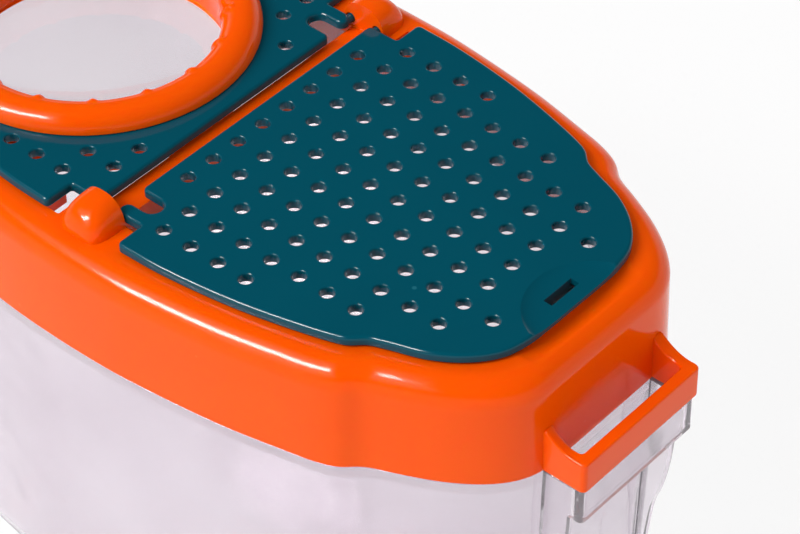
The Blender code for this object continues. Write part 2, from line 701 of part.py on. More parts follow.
def build():
    clear_scene()
    parts = make_collection("insect_observation_jar")
    cutters = make_collection("cutters")
    clear = plastic("clear_styrene", (0.86, 0.84, 0.87), 0.05, 0.3)
    orange = plastic("orange_plastic", (1.0, 0.10, 0.005), 0.25)
    teal = plastic("teal_plastic", (0.0, 0.07, 0.11), 0.25)
    optic = plastic("clear_lens", (0.90, 0.88, 0.91), 0.03, 0.3)

    body = tub(parts, cutters, clear)
    lid = collar(parts, cutters, orange)
    vent, vent_tools = door("vent_door", vent_holes(), parts, cutters, teal)
    hang([vent] + vent_tools, "vent_door_hinge", 1, parts)

    open_holes = [hole for hole in vent_holes() if clears_ring(hole)]
    window, window_tools = door("lens_door", open_holes, parts, cutters, teal)
    bore = disc("lens_door_bore", BARREL_RADIUS + RUNNING_GAP, 4 * DOOR_THICKNESS, ROUND_SIDES, cutters)
    bore.location = (RING_X, 0, DOOR_TOP)
    combine(window, bore, "DIFFERENCE")
    ring, ribs = lens_ring(parts, cutters, orange)
    glass = lens(parts, optic)
    hang([window, bore, ring, ribs, glass] + window_tools, "lens_door_hinge", -1, parts)
    for piece in (body, lid, vent, window):
        soften(piece, 35)


build()
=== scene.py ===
import json
import math

import bmesh
import bpy
import numpy as np
from mathutils import Matrix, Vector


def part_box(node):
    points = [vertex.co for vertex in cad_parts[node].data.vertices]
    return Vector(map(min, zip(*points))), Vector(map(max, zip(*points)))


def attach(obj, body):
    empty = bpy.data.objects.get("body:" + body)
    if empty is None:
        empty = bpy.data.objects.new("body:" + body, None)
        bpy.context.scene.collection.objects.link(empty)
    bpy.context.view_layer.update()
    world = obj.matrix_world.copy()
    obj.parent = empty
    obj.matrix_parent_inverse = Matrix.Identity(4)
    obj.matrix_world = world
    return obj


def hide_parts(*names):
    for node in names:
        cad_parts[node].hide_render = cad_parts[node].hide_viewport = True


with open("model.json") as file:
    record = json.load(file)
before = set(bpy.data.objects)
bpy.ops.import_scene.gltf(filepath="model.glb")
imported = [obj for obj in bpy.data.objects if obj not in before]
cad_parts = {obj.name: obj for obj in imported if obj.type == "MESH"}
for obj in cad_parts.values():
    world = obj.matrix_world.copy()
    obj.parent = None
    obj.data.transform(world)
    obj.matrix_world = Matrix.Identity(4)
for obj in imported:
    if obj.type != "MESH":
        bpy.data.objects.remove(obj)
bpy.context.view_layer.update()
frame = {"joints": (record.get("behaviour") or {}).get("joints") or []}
mm = 0.001

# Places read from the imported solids; lengths below are in millimetres
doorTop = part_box("vent_door")[1].z / mm
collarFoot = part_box("collar")[0].z / mm
hingePlace = {joint["name"]: joint.get("pos_m") for joint in frame["joints"]}
hingeX = hingePlace["vent_door_hinge"][0] / mm
hingeZ = hingePlace["vent_door_hinge"][2] / mm
doorThickness = 1.75
deckTop = doorTop - doorThickness - 0.3   # the doors lie 0.3 mm above the ledge
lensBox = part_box("lens")
lensMiddle = (lensBox[0] + lensBox[1]) / 2 / mm
print("stage: frame loaded")


# Curves and surfaces

softReach = 12           # steps to either side in the moving average
mergeDistance = 0.0005   # points closer than this become one


def splineLine(keys, steps, after=None):
    # Centripetal spline through the keys: three rounds of straight blends whose weights
    # grow with the square root of the distance between keys
    keys = np.asarray(keys, float)
    after = 2 * keys[-1] - keys[-2] if after is None else np.asarray(after, float)
    run = np.vstack([2 * keys[0] - keys[1], keys, after])
    line = []
    share = np.arange(steps)[:, None] / steps
    for a, b, c, d in zip(run, run[1:], run[2:], run[3:]):
        t1 = np.linalg.norm(b - a) ** 0.5
        t2 = t1 + np.linalg.norm(c - b) ** 0.5
        t3 = t2 + np.linalg.norm(d - c) ** 0.5
        t = t1 + (t2 - t1) * share
        ab = (a * (t1 - t) + b * t) / t1
        bc = (b * (t2 - t) + c * (t - t1)) / (t2 - t1)
        cd = (c * (t3 - t) + d * (t - t2)) / (t3 - t2)
        abc = (ab * (t2 - t) + bc * t) / t2
        bcd = (bc * (t3 - t) + cd * (t - t1)) / (t3 - t1)
        line.append((abc * (t2 - t) + bcd * (t - t1)) / (t2 - t1))
    return np.vstack(line + [keys[-1:]])


def arc(centre, radius, start, end, steps):
    # Points on a circle: centre plus radius times (cos, sin) of evenly spaced angles
    angle = np.radians(np.linspace(start, end, steps + 1))
    return np.stack([centre[0] + radius * np.cos(angle),
                     centre[1] + radius * np.sin(angle)], axis=1)


def mirrorQuarter(quarter):
    # A quarter outline in +x +y, mirrored over both axes into a closed clockwise one
    right = np.vstack([quarter, (quarter[:-1] * [1, -1])[::-1]])
    return np.vstack([right, (right[1:-1] * [-1, 1])[::-1]])


def inset(outline, distance):
    # Every point of a clockwise outline moves inward, square to the line there
    along = np.roll(outline, -1, axis=0) - np.roll(outline, 1, axis=0)
    along /= np.linalg.norm(along, axis=1)[:, None]
    return outline + np.stack([along[:, 1], -along[:, 0]], axis=1) * distance


def evenPairs(outer, inner, count, softness):
    # Both outlines at even steps along the outer one, then softened by a bell-shaped
    # moving average that wraps round; softness is its width in steps
    step = np.linalg.norm(np.diff(np.vstack([outer, outer[:1]]), axis=0), axis=1)
    place = np.concatenate([[0], np.cumsum(step)])
    want = np.arange(count) / count * place[-1]
    reach = np.arange(-softReach, softReach + 1)
    bell = np.exp(-0.5 * (reach / softness) ** 2)
    bell /= bell.sum()
    result = []
    for line in (outer, inner):
        ring = np.vstack([line, line[:1]])
        even = np.stack([np.interp(want, place, ring[:, axis]) for axis in (0, 1)], axis=1)
        result.append(sum(weight * np.roll(even, -k, axis=0) for k, weight in zip(reach, bell)))
    return result


def boxOutline(centre, halfX, halfY, corner, steps=6):
    # Rounded rectangle, clockwise
    x, y = centre
    parts = [arc((x + sx * (halfX - corner), y + sy * (halfY - corner)), corner, a, a - 90, steps)
             for sx, sy, a in ((-1, 1, 180), (1, 1, 90), (1, -1, 0), (-1, -1, -90))]
    return np.vstack(parts)


def meshFrom(points, faces):
    mesh = bpy.data.meshes.new("shape")
    mesh.from_pydata(points.reshape(-1, 3).tolist(), [], faces)
    return mesh


def gridFaces(rows, columns, wrapRows, wrapColumns, start=0):
    # Quads between neighbouring points of a grid, numbered row by row
    i = np.arange(rows if wrapRows else rows - 1)[:, None]
    j = np.arange(columns if wrapColumns else columns - 1)[None, :]
    i2, j2 = (i + 1) % rows, (j + 1) % columns
    quads = np.stack(np.broadcast_arrays(i * columns + j, i * columns + j2,
                                         i2 * columns + j2, i2 * columns + j), axis=-1)
    return (quads.reshape(-1, 4) + start).tolist()


def ringPoints(outer, inner, section):
    # For each point of the section, (mm in from the outer outline, share of the way to
    # the inner one, height), the outline is carried that far in
    gap = inner - outer
    width = np.linalg.norm(gap, axis=1)[:, None]
    flat = outer[:, None] + gap[:, None] * (section[:, 0] / width + section[:, 1])[..., None]
    height = np.broadcast_to(section[:, 2], flat.shape[:2])
    return np.concatenate([flat, height[..., None]], axis=2)


def cappedFaces(rows, columns, first=0):
    # Each row is a loop, joined to the next by quads; the first and last loops are capped
    last = first + (rows - 1) * columns
    return gridFaces(rows, columns, False, True, first) + [
        list(range(first, first + columns)), list(range(last, last + columns))]


def cappedTube(points):
    return meshFrom(points, cappedFaces(*points.shape[:2]))


def stackedSolid(outlines, heights):
    # Outlines of equal count, one at each height, as a closed solid
    return cappedTube(np.stack([np.column_stack([line, np.full(len(line), z)])
                                for line, z in zip(outlines, heights)]))


def carriedAlongY(outline, places):
    # The same (x, z) outline at each place along y
    x, y, z = np.broadcast_arrays(outline[:, 0], np.asarray(places, float)[:, None], outline[:, 1])
    return np.stack([x, y, z], axis=-1)


def turnedMesh(profile, steps, centre=(0, 0, 0), closed=True, lift=None):
    # Surface of revolution: radius and height of the profile carried round the centre;
    # lift adds a height along the profile's normal for each (angle, profile point)
    profile = np.asarray(profile, float)
    angle = np.arange(steps) / steps * 2 * math.pi
    radius = np.broadcast_to(profile[:, 0], (steps, len(profile)))
    height = np.broadcast_to(profile[:, 1], (steps, len(profile)))
    if lift is not None:
        along = np.gradient(profile, axis=0)
        along /= np.linalg.norm(along, axis=1)[:, None] + 1e-9
        rise = lift(angle)
        radius = radius + rise * along[:, 1]
        height = height - rise * along[:, 0]
    points = np.stack([centre[0] + radius * np.cos(angle)[:, None],
                       centre[1] + radius * np.sin(angle)[:, None],
                       centre[2] + height], axis=-1)
    return meshFrom(points, gridFaces(steps, len(profile), True, closed))


def addObject(name, data):
    thing = bpy.data.objects.new(name, data)
    bpy.context.scene.collection.objects.link(thing)
    return thing


def faceOutward(mesh):
    work = bmesh.new()
    work.from_mesh(mesh)
    bmesh.ops.remove_doubles(work, verts=work.verts, dist=mergeDistance)
    bmesh.ops.recalc_face_normals(work, faces=work.faces)
    work.to_mesh(mesh)
    work.free()
    return mesh


def combined(mesh, tools, operation):
    # The mesh after a Boolean with each tool mesh in turn
    base = addObject("base", faceOutward(mesh))
    helpers = []
    for tool in tools:
        helper = addObject("tool", faceOutward(tool))
        step = base.modifiers.new("Combine", "BOOLEAN")
        step.operation = operation
        step.object = helper
        step.solver = "EXACT"
        helpers.append(helper)
    finished = base.evaluated_get(bpy.context.evaluated_depsgraph_get())
    result = bpy.data.meshes.new_from_object(finished)
    for thing in helpers + [base]:
        bpy.data.objects.remove(thing)
    return result


def joined(meshes):
    # Several closed meshes of one moulding as one mesh
    work = bmesh.new()
    for mesh in meshes:
        work.from_mesh(mesh)
    mesh = bpy.data.meshes.new("shape")
    work.to_mesh(mesh)
    work.free()
    return mesh


def placePiece(name, mesh, body, material, sharpAngle=40, stands=None):
    # Puts a finished mesh on its body and gives it its finish
    faceOutward(mesh).transform(Matrix.Scale(mm, 4))
    mesh.name = name
    mesh.materials.clear()
    mesh.materials.append(material)
    mesh.shade_smooth()
    mesh.set_sharp_from_angle(angle=math.radians(sharpAngle))
    piece = addObject(name, mesh)
    flats = piece.modifiers.new("FlatFacesStayFlat", "WEIGHTED_NORMAL")
    flats.keep_sharp = True
    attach(piece, body)
    if stands:
        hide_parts(*stands)
    return piece


# Materials

orangeFinish = {
    "deep": "#FF5200", "pale": "#FF5E00", "speck": "#FF8A40", "speckShare": 0.2, "speckMm": 9.0,
    "flowMm": 30, "rubMm": 4, "glossy": 0.09, "dull": 0.15, "shine": 0.15,
    "waveMm": 14, "waveLift": 0.04, "peelMm": 0.8, "peelLift": 0.15,
    "glow": 0.35, "glowMm": 2.2, "glowReach": (1.0, 0.15, 0.03)}
tealFinish = {
    "deep": "#004859", "pale": "#005061", "speck": "#2E7F8F", "speckShare": 0.4, "speckMm": 13.0,
    "flowMm": 36, "rubMm": 4, "glossy": 0.07, "dull": 0.14, "shine": 0.18,
    "waveMm": 16, "waveLift": 0.05, "peelMm": 0.8, "peelLift": 0.15,
    "glow": 0.0, "glowMm": 1.0, "glowReach": (0.1, 0.3, 0.5)}
mouldedGrain = {
    "ior": 1.53,  # ABS
    "flowDetail": 3.0, "flowTwist": 0.8,
    "speckSpan": (0.02, 0.035),  # edge of a dust speck, in shares of its cell
    "rubDetail": 5.0, "rubRoughness": 0.65, "rubSpan": (0.3, 0.75),
    "waveDeep": 0.0002, "peelDeep": 0.00002}  # m
tubFinish = {
    "deep": "#E7E0E6", "pale": "#F0EBF0", "tintMm": 40, "waveMm": 16, "waveLift": 0.8,
    "rubMm": 6, "glossy": 0.03, "dull": 0.10, "ior": 1.59, "haze": 0.09}
lensFinish = {
    "deep": "#FAF8FA", "pale": "#FCFBFC", "tintMm": 20, "waveMm": 18, "waveLift": 0.05,
    "rubMm": 5, "glossy": 0.0, "dull": 0.04, "ior": 1.49, "haze": 0.0}
clearGrain = {"waveDetail": 1.5, "waveDeep": 0.0004, "rubDetail": 4.0, "rubSpan": (0.35, 0.75),
              "tintSpan": (0.32, 0.62)}


def linear(code):
    # sRGB hex to linear light
    value = np.array([int(code[i:i + 2], 16) for i in (1, 3, 5)]) / 255
    value = np.where(value <= 0.04045, value / 12.92, ((value + 0.055) / 1.055) ** 2.4)
    return (*value, 1.0)


def feed(node, inputs):
    # Gives each named input its plain value, or links it from a socket
    for key, value in inputs.items():
        if isinstance(value, bpy.types.NodeSocket):
            node.id_data.links.new(value, node.inputs[key])
        else:
            node.inputs[key].default_value = value


def addNode(tree, kind, inputs=None, **settings):
    node = tree.nodes.new(kind)
    for key, value in settings.items():
        setattr(node, key, value)
    feed(node, inputs or {})
    return node


def newMaterial(name):
    material = bpy.data.materials.new(name)
    material.use_nodes = True
    return material, material.node_tree, material.node_tree.nodes["Principled BSDF"]


def mouldedPlastic(name, finish):
    # Injection-moulded glossy ABS: a polished mould leaves long soft waves, a faint
    # orange peel and cloudy flow marks; handling leaves hairline rubs that dull the gloss
    material, tree, shader = newMaterial(name)
    grain = mouldedGrain
    place = addNode(tree, "ShaderNodeTexCoord").outputs["Object"]
    flow = addNode(tree, "ShaderNodeTexNoise", {
        "Vector": place, "Scale": 1000 / finish["flowMm"], "Detail": grain["flowDetail"],
        "Distortion": grain["flowTwist"]})
    tone = addNode(tree, "ShaderNodeMix", {
        "Factor": flow.outputs["Fac"], "A": linear(finish["deep"]),
        "B": linear(finish["pale"])}, data_type="RGBA")
    speck = addNode(tree, "ShaderNodeTexVoronoi", {
        "Vector": place, "Scale": 1000 / finish["speckMm"]})
    dot = addNode(tree, "ShaderNodeMapRange", {
        "Value": speck.outputs["Distance"], "From Min": grain["speckSpan"][0],
        "From Max": grain["speckSpan"][1], "To Min": finish["speckShare"], "To Max": 0.0})
    dusty = addNode(tree, "ShaderNodeMix", {
        "Factor": dot.outputs["Result"], "A": tone.outputs["Result"],
        "B": linear(finish["speck"])}, data_type="RGBA")
    rubs = addNode(tree, "ShaderNodeTexNoise", {
        "Vector": place, "Scale": 1000 / finish["rubMm"], "Detail": grain["rubDetail"],
        "Roughness": grain["rubRoughness"]})
    gloss = addNode(tree, "ShaderNodeMapRange", {
        "Value": rubs.outputs["Fac"], "From Min": grain["rubSpan"][0],
        "From Max": grain["rubSpan"][1], "To Min": finish["glossy"], "To Max": finish["dull"]})
    waves = addNode(tree, "ShaderNodeTexNoise", {
        "Vector": place, "Scale": 1000 / finish["waveMm"], "Detail": 1.0})
    peel = addNode(tree, "ShaderNodeTexNoise", {
        "Vector": place, "Scale": 1000 / finish["peelMm"], "Detail": 2.0})
    first = addNode(tree, "ShaderNodeBump", {
        "Height": waves.outputs["Fac"], "Strength": finish["waveLift"],
        "Distance": grain["waveDeep"]})
    second = addNode(tree, "ShaderNodeBump", {
        "Height": peel.outputs["Fac"], "Strength": finish["peelLift"],
        "Distance": grain["peelDeep"], "Normal": first.outputs["Normal"]})
    # Light bleeds a little way through the pigment, reddest where it goes furthest
    feed(shader, {
        "Base Color": dusty.outputs["Result"], "Roughness": gloss.outputs["Result"],
        "Normal": second.outputs["Normal"], "IOR": grain["ior"],
        "Specular IOR Level": finish["shine"], "Subsurface Weight": finish["glow"],
        "Subsurface Scale": finish["glowMm"] * mm, "Subsurface Radius": finish["glowReach"]})
    return material


def clearPlastic(name, finish):
    # Injection-moulded clear plastic: a faint lilac tint in soft clouds, long waves that
    # bend what is seen through the wall, a little haze and a few rubs
    material, tree, shader = newMaterial(name)
    grain = clearGrain
    place = addNode(tree, "ShaderNodeTexCoord").outputs["Object"]
    waves = addNode(tree, "ShaderNodeTexNoise", {
        "Vector": place, "Scale": 1000 / finish["waveMm"], "Detail": grain["waveDetail"]})
    bump = addNode(tree, "ShaderNodeBump", {
        "Height": waves.outputs["Fac"], "Strength": finish["waveLift"],
        "Distance": grain["waveDeep"]})
    rubs = addNode(tree, "ShaderNodeTexNoise", {
        "Vector": place, "Scale": 1000 / finish["rubMm"], "Detail": grain["rubDetail"]})
    gloss = addNode(tree, "ShaderNodeMapRange", {
        "Value": rubs.outputs["Fac"], "From Min": grain["rubSpan"][0],
        "From Max": grain["rubSpan"][1], "To Min": finish["glossy"], "To Max": finish["dull"]})
    tint = addNode(tree, "ShaderNodeTexNoise", {
        "Vector": place, "Scale": 1000 / finish["tintMm"], "Detail": 1.0})
    cloud = addNode(tree, "ShaderNodeMapRange", {
        "Value": tint.outputs["Fac"], "From Min": grain["tintSpan"][0],
        "From Max": grain["tintSpan"][1]})
    tone = addNode(tree, "ShaderNodeMix", {
        "Factor": cloud.outputs["Result"], "A": linear(finish["deep"]),
        "B": linear(finish["pale"])}, data_type="RGBA")
    feed(shader, {
        "Base Color": tone.outputs["Result"], "Roughness": gloss.outputs["Result"],
        "Normal": bump.outputs["Normal"], "IOR": finish["ior"],
        "Transmission Weight": 1 - finish["haze"]})
    # Lamps shine through the clear walls
    path = addNode(tree, "ShaderNodeLightPath")
    clear = addNode(tree, "ShaderNodeBsdfTransparent", {"Color": linear(finish["pale"])})
    mixed = addNode(tree, "ShaderNodeMixShader", {
        0: path.outputs["Is Shadow Ray"], 1: shader.outputs[0], 2: clear.outputs[0]})
    feed(tree.nodes["Material Output"], {"Surface": mixed.outputs[0]})
    return material


orangePlastic = mouldedPlastic("orange_moulded_abs", orangeFinish)
tealPlastic = mouldedPlastic("teal_moulded_abs", tealFinish)
clearStyrene = clearPlastic("clear_moulded_polystyrene", tubFinish)
clearAcrylic = clearPlastic("clear_polished_acrylic", lensFinish)
print("stage: materials made")


# Collar: the outer outline and the edge of its opening, a quarter each, with matching points

collarShape = {
    "outer": [(0, 40.0), (8.5, 39.8), (14, 39.4), (30, 37.4), (41, 35.1), (45.3, 34.1), (49.1, 32.6),
              (51.7, 30.2), (57, 27.8), (62.9, 24.8), (67.8, 21.2), (70.6, 17.9), (72.1, 14.3),
              (72.4, 7.5), (72.4, 0)],
    "opening": [(0, 29.1), (8.0, 29.2), (12, 30.9), (28.5, 29.3), (39.5, 26.6), (43, 25.5),
                (45.6, 24.0), (48.6, 22.1), (53.2, 20.4), (58.3, 17.6), (61.4, 14.4),
                (62.7, 11.6), (63.4, 9.0), (63.7, 5.0), (63.7, 0)],
    "keySteps": 12, "samples": 760, "softness": 2.0,
    "draft": 0.25, "shoulder": 4.2, "wall": 2.1, "edgeRound": 0.3,
    "wallRows": 8, "wallStop": 0.2, "shoulderRows": 22, "edgeRows": 4, "insideRows": 8,
    "deckRows": 22, "deckSpan": (0.06, 0.94),
    "scoopX": 66.9, "scoopHalfWidth": 2.6, "scoopHalfLength": 12.5, "scoopDepth": 1.2,
    "scoopFade": 0.7, "scoopPower": 1.3,
    # The small openings beside the bosses: middle, half size, corner, from and to the deck
    "window": (6.9, 31.3), "windowHalf": (1.35, 2.3), "windowCorner": 0.3, "windowCut": (-6, 3),
}


def collarOutlines():
    shape = collarShape
    lines = [mirrorQuarter(splineLine(shape[key], shape["keySteps"],
                                      np.array(shape[key][-2]) * [1, -1]))
             for key in ("outer", "opening")]
    return evenPairs(*lines, shape["samples"], shape["softness"])


def collarSection():
    # (mm in from the outside, share of the way to the opening, height), all the way
    # round: foot, drafted wall, shoulder arc, deck, edge of the opening, back inside
    shape = collarShape
    draft, wall, edge = shape["draft"], shape["wall"], shape["edgeRound"]
    shoulder = shape["shoulder"]
    top, inward = deckTop - shoulder, draft + shoulder
    section = [(wall, 0, collarFoot), (edge, 0, collarFoot)]
    section += [(x, 0, z) for x, z in arc((edge, collarFoot + edge), edge, 270, 180, shape["edgeRows"])]
    rise = np.linspace(collarFoot + 2 * edge, top - shape["wallStop"], shape["wallRows"])
    section += [(draft * (z - collarFoot) / (top - collarFoot), 0, z) for z in rise]
    section += [(x, 0, z) for x, z in arc((inward, top), shoulder, 180, 90, shape["shoulderRows"])]
    section += [(inward * (1 - k), k, deckTop)
                for k in np.linspace(*shape["deckSpan"], shape["deckRows"])]
    section += [(x - edge, 1, z) for x, z in arc((0, deckTop - edge), edge, 90, 0, shape["edgeRows"])]
    section += [(0, 1, deckTop - wall), (inward / 2, 0.5, deckTop - wall)]
    section += [(x, 0, z)
                for x, z in arc((inward, top), shoulder - wall, 90, 180, shape["insideRows"])]
    return np.array(section)


def collarMesh():
    shape = collarShape
    outer, opening = collarOutlines()
    points = ringPoints(outer, opening, collarSection())
    x, y, z = points[..., 0], points[..., 1], points[..., 2]
    # Finger scoop: a valley across the nose, parabolic across and fading toward its ends
    across = np.clip(1 - ((np.abs(x) - shape["scoopX"]) / shape["scoopHalfWidth"]) ** 2, 0, 1)
    length = np.clip(1 - (y / shape["scoopHalfLength"]) ** 2, 0, 1) ** shape["scoopFade"]
    upper = z > deckTop - shape["wall"] / 2
    points[..., 2] = z - shape["scoopDepth"] * across ** shape["scoopPower"] * length * upper
    mesh = meshFrom(points, gridFaces(points.shape[0], points.shape[1], True, True))
    windowX, windowY = shape["window"]
    heights = [deckTop + cut for cut in shape["windowCut"]]
    plans = [boxOutline((end * windowX, end * windowY), *shape["windowHalf"], shape["windowCorner"])
             for end in (1, -1)]
    windows = joined([stackedSolid([plan, plan], heights) for plan in plans])
    return combined(mesh, [windows], "DIFFERENCE")


# Hinge bosses and the pins that turn in them

bossShape = {"inner": 29.2, "outer": 35.7, "half": 4.3, "rise": 2.8, "foot": 1.0,
             "roundness": 2.5, "planCorner": 4.2, "endDome": 2.8, "archSteps": 60,
             "plainShare": 0.7, "plainRows": 15, "domeRows": 30, "domeCrowding": 2.2,
             "domeStart": 0.96, "least": 0.02,
             "pinHole": 0.95, "pinHoleDepth": 2.0, "pinHoleSides": 32}
pinDomeTurns = (20, 40, 60, 80)   # degrees round a pin's end


def bossMesh(end):
    # Hump: a superellipse arch over x, carried outward along y. Its width and its height
    # fall to nothing at the outer end along two more superellipses, so that end is domed
    shape = bossShape
    plain, least = shape["plainShare"], shape["least"]
    crowded = np.linspace(shape["domeStart"], 0, shape["domeRows"]) ** shape["domeCrowding"]
    share = np.concatenate([np.linspace(0, plain, shape["plainRows"]), 1 - (1 - plain) * crowded])
    turn = np.radians(np.linspace(0, 180, shape["archSteps"] + 1))
    power = 2 / shape["roundness"]
    across = np.sign(np.cos(turn)) * np.abs(np.cos(turn)) ** power * shape["half"]
    upward = np.sin(turn) ** power * (doorTop + shape["rise"] - deckTop + shape["foot"])
    wide = (1 - share ** shape["planCorner"]) ** (1 / shape["planCorner"])
    tall = (1 - share ** shape["endDome"]) ** (1 / shape["endDome"])
    wide, tall = least + (1 - least) * wide[:, None], least + (1 - least) * tall[:, None]
    y = shape["inner"] + (shape["outer"] - shape["inner"]) * share[:, None]
    points = np.stack([across * wide, np.broadcast_to(end * y, (len(share), len(turn))),
                       deckTop - shape["foot"] + upward * tall], axis=-1)
    start, stop = end * (shape["inner"] - 1), end * (shape["inner"] + shape["pinHoleDepth"])
    holes = [roundBar(side * hingeX, start, stop, shape["pinHole"], shape["pinHoleSides"])
             for side in (1, -1)]
    return combined(cappedTube(points), holes, "DIFFERENCE")


def roundBar(x, startY, stopY, radius, sides, dome=0.0):
    # Bar along y on the hinge line: a circle carried from one end to the other, the far
    # end turned in by most of a quarter arc
    way = math.copysign(1, stopY - startY)
    profile = [(radius, startY), (radius, stopY - way * dome)]
    if dome:
        profile += [(radius - dome * (1 - math.cos(t)), stopY - way * dome * (1 - math.sin(t)))
                    for t in np.radians(pinDomeTurns)]
    profile = np.array(profile)
    angle = np.arange(sides) / sides * 2 * math.pi
    points = np.stack([x + profile[:, :1] * np.cos(angle),
                       np.broadcast_to(profile[:, 1:], (len(profile), sides)),
                       hingeZ + profile[:, :1] * np.sin(angle)], axis=-1)
    return cappedTube(points)


# Strap loops

loopShape = {"outerX": 79.75, "half": 13.75, "bar": 2.05, "cheek": 1.9, "root": 71.2,
             "corner": 0.9, "insideCorner": 0.7, "barTop": 68.9, "cheekTop": 71.4,
             "sweepStart": 72.4, "sweepShort": 0.4, "round": 0.4,
             "straightSteps": 40, "cornerSteps": 12, "barSteps": 10, "roundSteps": 5}


def loopLines(outerX, half, bar, cheek):
    # The outer and inner U of a strap loop, with matching points, from +y round to -y
    shape = loopShape
    lines = []
    for endX, side, corner in ((outerX, half, shape["corner"]),
                               (outerX - bar, half - cheek, shape["insideCorner"])):
        straight = np.linspace(shape["root"], endX - corner, shape["straightSteps"])
        line = np.vstack([np.column_stack([straight, np.full(len(straight), side)]),
                          arc((endX - corner, side - corner), corner, 90, 0, shape["cornerSteps"])])
        across = np.linspace(line[-1, 1], -line[-1, 1], shape["barSteps"] + 1)[1:-1]
        middle = np.column_stack([np.full(len(across), line[-1, 0]), across])
        lines.append(np.vstack([line, middle, line[::-1] * [1, -1]]))
    return lines


def loopMesh(end, lines, low, top, edge):
    # Rounded rectangle carried along the U, from the height low up to top, which is one
    # height or one for each point of the U
    outer, inner = lines
    width = np.linalg.norm(inner - outer, axis=1)
    turn = np.radians(np.linspace(0, 90, loopShape["roundSteps"] + 1))
    near, far = edge * np.sin(turn) - edge, edge * np.cos(turn) - edge
    none, full = np.zeros_like(turn), np.ones_like(turn)
    # (mm in, share of the width, mm up, share of the height) round the section
    section = np.vstack([np.column_stack([-near, none, -far, none]),
                         np.column_stack([-far, none, near, full]),
                         np.column_stack([near, full, far, full]),
                         np.column_stack([far, full, -near, none])])
    share = section[:, 0] / width[:, None] + section[:, 1]
    flat = outer[:, None] + (inner - outer)[:, None] * share[..., None]
    high = np.broadcast_to(top, len(outer))[:, None]
    height = low + section[:, 2] + (high - low) * section[:, 3]
    points = np.concatenate([flat, height[..., None]], axis=2)
    points[..., :2] *= end
    return cappedTube(points)


def cheekTop(x):
    # Cheeks sweep down to the bar along a parabola
    shape = loopShape
    end = shape["outerX"] - shape["bar"] - shape["sweepShort"]
    run = np.clip((x - shape["sweepStart"]) / (end - shape["sweepStart"]), 0, 1)
    return shape["barTop"] + (shape["cheekTop"] - shape["barTop"]) * (1 - run) ** 2


crossbarShape = {"half": 2.45, "top": 2.5, "low": 8.5, "reach": 31.0, "round": 0.12}


def crossbarMesh():
    # Rounded rectangle carried along y between the long sides
    shape = crossbarShape
    low, high = doorTop - shape["low"], doorTop - shape["top"]
    outline = boxOutline((0, (low + high) / 2), shape["half"], (high - low) / 2, shape["round"])
    return cappedTube(carriedAlongY(outline, [-shape["reach"], 0, shape["reach"]]))


placePiece("collar_shell", collarMesh(), "lid", orangePlastic, 40, ["collar"])
placePiece("hinge_boss_near", bossMesh(-1), "lid", orangePlastic, 50)
placePiece("hinge_boss_far", bossMesh(1), "lid", orangePlastic, 50)
placePiece("cross_bar", crossbarMesh(), "lid", orangePlastic)
collarLoop = loopLines(*(loopShape[key] for key in ("outerX", "half", "bar", "cheek")))
collarLoopTop = cheekTop((collarLoop[0][:, 0] + collarLoop[1][:, 0]) / 2)
for end, side in ((1, "right"), (-1, "left")):
    mesh = loopMesh(end, collarLoop, collarFoot, collarLoopTop, loopShape["round"])
    placePiece("collar_loop_" + side, mesh, "lid", orangePlastic)
print("stage: collar made")


# Doors

doorShape = {
    "side": [(8.3, 34.1), (16, 33.8), (30, 31.9), (44.2, 28.3), (46.6, 27.3), (48.8, 25.4),
             (51.4, 24.3), (57.5, 22.0), (62.3, 18.6), (65.3, 14.6), (66.4, 10.4), (66.6, 5.5),
             (66.6, 0)],
    "keySteps": 9, "heel": 1.6, "corner": 0.9, "cornerSteps": 9, "insideCorner": 0.4,
    "insideSteps": 6, "roundSteps": 20, "edge": 0.6, "lowerEdge": 0.36, "edgeSteps": 4,
    "tongueOuter": 28.9, "tongueWidth": 2.6, "tongueSetback": 0.4,
    "slitWidth": 3.4, "slitEnd": 7.15, "notchEnd": 7.3,
    "pinRadius": 0.75, "pinRoot": 1.2, "pinReach": 1.7, "pinSides": 24, "pinDome": 0.4,
    "slotX": 63.4, "slotY": 0.6, "slotHalf": (0.78, 3.15), "slotCorner": 0.15,
    "dishX": 69.85, "dishRadius": 10.56, "dishDepth": 0.8, "dishWall": 2.2, "dishSteep": 1.5,
    "dishRows": 70, "dishSides": 160, "dishLap": 0.6, "dishLid": 3.0,
    "toolOver": 1.0,   # how far a cutting tool runs past the face that it cuts
}
